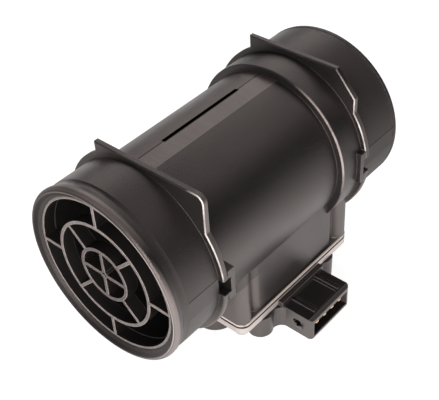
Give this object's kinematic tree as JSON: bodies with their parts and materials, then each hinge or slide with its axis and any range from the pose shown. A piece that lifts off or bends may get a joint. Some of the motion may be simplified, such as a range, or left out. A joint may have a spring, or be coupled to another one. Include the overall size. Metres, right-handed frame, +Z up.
{
  "type": "mass airflow sensor",
  "caption": "Moulded flow tube with hose ends, an inlet grid and box flanges; a sensor module plugs in from below on a metal plate with a side connector.",
  "frame": {"origin": "on the tube's axis, in the plane of the inlet rim", "axes": "+Y along the tube from inlet to outlet, +Z up away from the base plate, +X towards the connector"},
  "size_m": [0.0849, 0.1345, 0.0959],
  "materials": {
    "tube_plastic": "matte charcoal glass-filled moulding",
    "grid_plastic": "matte dark grey moulding",
    "housing_plastic": "satin black moulding",
    "carrier_plastic": "matte black moulding",
    "cast_alloy": "satin machined edge",
    "steel": "zinc plated",
    "insert_brass": "knurled",
    "terminal_brass": "gold-tinned blades",
    "seal_rubber": "matte",
    "element_glass": "coated glass film element",
    "board_laminate": "solder mask",
    "component_body": "moulded component"
  },
  "bodies": {
    "root": {"tube_housing": "tube_plastic", "inlet_grid": "grid_plastic", "sensor_carrier": "carrier_plastic", "carrier_seal": "seal_rubber", "measuring_duct": "carrier_plastic", "heater_element": "element_glass", "thermometer_element": "element_glass", "thread_inserts": "insert_brass", "plate_screws": "steel", "plate_gasket": "seal_rubber", "base_plate": "cast_alloy", "electronics_housing": "housing_plastic", "housing_screws": "steel", "housing_cover": "housing_plastic", "cover_seal": "seal_rubber", "circuit_board": "board_laminate", "control_chip": "component_body", "power_transistor": "component_body", "chip_capacitors": "component_body", "terminal_1": "terminal_brass", "terminal_2": "terminal_brass", "terminal_3": "terminal_brass", "terminal_4": "terminal_brass"}
  },
  "joints": []
}
